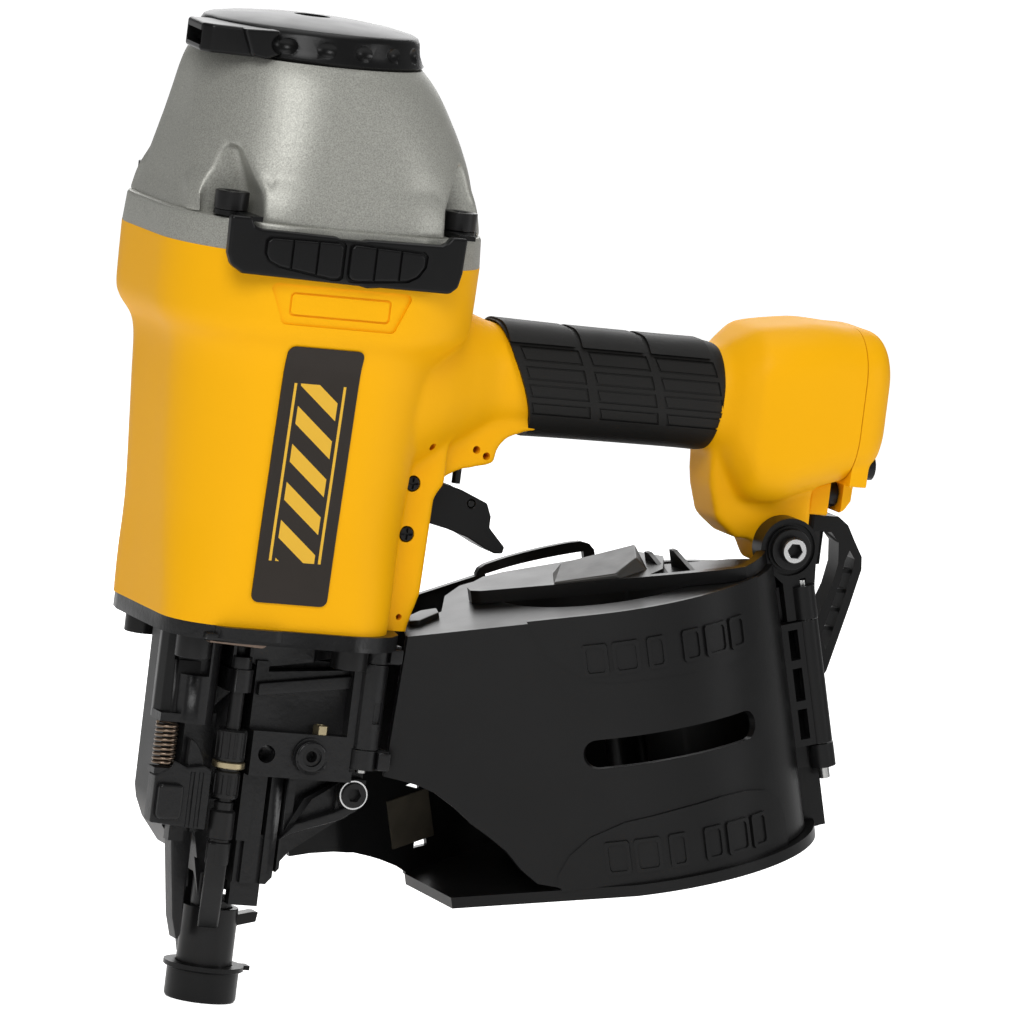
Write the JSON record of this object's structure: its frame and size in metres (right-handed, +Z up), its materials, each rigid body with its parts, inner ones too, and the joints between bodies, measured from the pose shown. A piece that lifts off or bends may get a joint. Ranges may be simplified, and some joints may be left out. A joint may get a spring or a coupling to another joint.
{
  "type": "pneumatic coil nail gun",
  "caption": "Air-powered framing nailer with a tilted round coil magazine, hinged nose door, rubber-gripped handle, turning exhaust deflector and a pivoting rafter hook.",
  "frame": {"origin": "under the middle of the tool's bounding box, at the height of the contact face that is pressed on the work; the driver axis is at x = -0.087, y = 0", "axes": "+Z runs up the driver axis from the work to the exhaust deflector, +X runs back along the handle to the air inlet, -Y is the side with the nose door and the magazine cover"},
  "size_m": [0.285, 0.1263, 0.3499],
  "materials": {
    "housing_yellow": "yellow-orange painted die casting, smooth satin gloss",
    "cap_silver": "silver grey hammertone paint on a casting",
    "black_plastic": "moulded black plastic, satin, fine texture",
    "black_rubber": "soft black rubber, matte",
    "black_casting": "black coated steel casting, slightly rough",
    "label_dark": "printed dark brown-black label, satin",
    "black_steel": "black oxide steel",
    "bright_alloy": "machined alloy, anodised",
    "bright_steel": "bright plated steel"
  },
  "bodies": {
    "housing": {"main_housing": "housing_yellow", "head_cap": "cap_silver", "cap_screw_1": "black_steel", "cap_screw_2": "black_steel", "cap_screw_3": "black_steel", "cap_screw_4": "black_steel", "bumper_near": "black_plastic", "bumper_far": "black_plastic", "deflector_screw": "black_steel", "cylinder_sleeve": "bright_alloy", "sleeve_seal": "black_rubber", "drive_bumper": "black_rubber", "grip_sleeve": "black_rubber", "end_cap": "housing_yellow", "end_cap_bolt_1": "black_steel", "end_cap_bolt_2": "black_steel", "end_cap_bolt_3": "black_steel", "air_inlet_bushing": "bright_steel", "trigger_pin": "bright_steel", "trigger_valve_body": "bright_alloy", "side_screw_1": "black_steel", "side_screw_2": "black_steel", "side_label": "label_dark", "nose_casting": "black_casting", "nose_bolt_1": "black_steel", "nose_bolt_2": "black_steel", "nose_bolt_3": "black_steel", "nose_bolt_4": "black_steel", "front_guard": "black_plastic", "door_hinge_pin": "bright_steel", "feed_cylinder": "bright_alloy", "canister_base": "black_plastic", "cover_hinge_pin": "bright_steel", "hanger_bolt": "black_steel", "hook_pin": "bright_steel"},
    "deflector": {"exhaust_deflector": "black_plastic"},
    "head_valve": {"head_valve": "bright_alloy", "head_valve_spring": "bright_steel"},
    "driver": {"piston": "bright_alloy", "piston_ring": "black_plastic", "driver_blade": "bright_steel"},
    "trigger": {"trigger": "black_plastic"},
    "trigger_lever": {"trigger_lever": "black_steel"},
    "valve_stem": {"valve_stem": "bright_steel"},
    "contact_trip": {"contact_foot": "black_steel", "foot_cap": "black_plastic", "trip_arm": "black_steel", "trip_rod": "black_steel", "trip_spring": "bright_steel"},
    "depth_adjuster": {"depth_adjuster": "black_steel"},
    "nose_door": {"nose_door": "black_casting", "door_bolt": "black_steel"},
    "door_latch": {"door_latch": "black_casting", "latch_spring": "bright_steel"},
    "feed": {"feed_piston": "bright_steel", "feed_pawl": "black_steel"},
    "canister_cover": {"canister_cover": "black_plastic", "canister_lid": "black_plastic"},
    "nail_platform": {"nail_platform": "black_plastic"},
    "rafter_hook": {"rafter_hook": "black_plastic"}
  },
  "joints": [
    {"name": "deflector_turn", "type": "hinge", "parent": "housing", "child": "deflector", "pos_m": [-0.09, 0, 0.34], "axis": [0, 0, 1], "continuous": true},
    {"name": "head_valve_lift", "type": "slide", "parent": "housing", "child": "head_valve", "axis": [0, 0, 1], "range_m": [0, 0.004], "deforming": ["head_valve_spring"]},
    {"name": "driver_stroke", "type": "slide", "parent": "housing", "child": "driver", "axis": [0, 0, -1], "range_m": [0, 0.103]},
    {"name": "trigger_pull", "type": "hinge", "parent": "housing", "child": "trigger", "pos_m": [-0.034, 0, 0.186], "axis": [0, -1, 0], "range_deg": [0, 10]},
    {"name": "trigger_lever_lift", "type": "hinge", "parent": "trigger", "child": "trigger_lever", "pos_m": [-0.011, 0, 0.184], "axis": [0, 1, 0], "range_deg": [0, 8]},
    {"name": "valve_stem_lift", "type": "slide", "parent": "housing", "child": "valve_stem", "axis": [0, 0, 1], "range_m": [0, 0.003]},
    {"name": "contact_trip_lift", "type": "slide", "parent": "housing", "child": "contact_trip", "axis": [0, 0, 1], "range_m": [0, 0.009], "deforming": ["trip_spring"]},
    {"name": "depth_adjuster_turn", "type": "hinge", "parent": "contact_trip", "child": "depth_adjuster", "pos_m": [-0.0955, -0.024, 0.092], "axis": [0, 0, 1], "continuous": true},
    {"name": "nose_door_swing", "type": "hinge", "parent": "housing", "child": "nose_door", "pos_m": [-0.0455, -0.022, 0.11], "axis": [0, 0, 1], "range_deg": [0, 90]},
    {"name": "door_latch_lift", "type": "slide", "parent": "housing", "child": "door_latch", "axis": [0, 0, 1], "range_m": [0, 0.005], "deforming": ["latch_spring"]},
    {"name": "feed_stroke", "type": "slide", "parent": "housing", "child": "feed", "axis": [1, 0, 0], "range_m": [0, 0.008]},
    {"name": "canister_cover_swing", "type": "hinge", "parent": "housing", "child": "canister_cover", "pos_m": [0.1223, -0.02, 0.13167], "axis": [-0.2605, 0, 0.9655], "range_deg": [0, 100]},
    {"name": "nail_platform_height", "type": "slide", "parent": "housing", "child": "nail_platform", "axis": [-0.2605, 0, 0.9655], "range_m": [0, 0.04]},
    {"name": "rafter_hook_swing", "type": "hinge", "parent": "housing", "child": "rafter_hook", "pos_m": [0.1228, 0.002, 0.18], "axis": [0, 0, 1], "range_deg": [0, 90]}
  ],
  "couplings": [
    {"joint": "valve_stem_lift", "follows": "trigger_pull", "m_per_rad": 0.0171}
  ]
}
